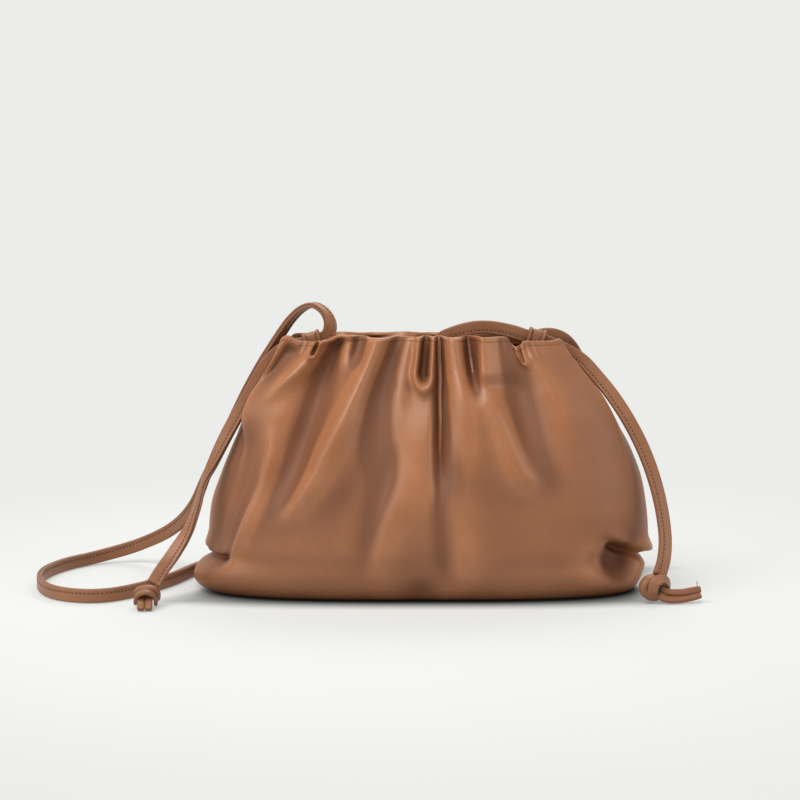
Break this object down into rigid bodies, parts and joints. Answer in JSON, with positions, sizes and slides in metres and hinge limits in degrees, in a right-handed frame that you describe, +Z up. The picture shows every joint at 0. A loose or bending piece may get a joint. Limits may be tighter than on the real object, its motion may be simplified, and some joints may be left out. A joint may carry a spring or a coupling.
{
  "type": "cloud pouch bag",
  "caption": "Soft gathered leather pouch bag with a wide base, a pleated open mouth and a long thin strap threaded through two keepers and knotted at both ends.",
  "frame": {"origin": "on the ground under the middle of the bag", "axes": "+X to the bag's right along its width, +Y from the front to the back, +Z up from the base to the mouth"},
  "size_m": [0.345, 0.1313, 0.1493],
  "materials": {
    "pouch_body": "soft grained satin, brown",
    "left_keeper": "smooth satin, brown",
    "right_keeper": "smooth satin, brown",
    "strap": "smooth satin, brown, stitched",
    "left_knot": "smooth satin, brown",
    "right_knot": "smooth satin, brown"
  },
  "bodies": {
    "root": {"pouch_body": "pouch_body", "left_keeper": "left_keeper", "right_keeper": "right_keeper", "strap": "strap", "left_knot": "left_knot", "right_knot": "right_knot"}
  },
  "joints": []
}
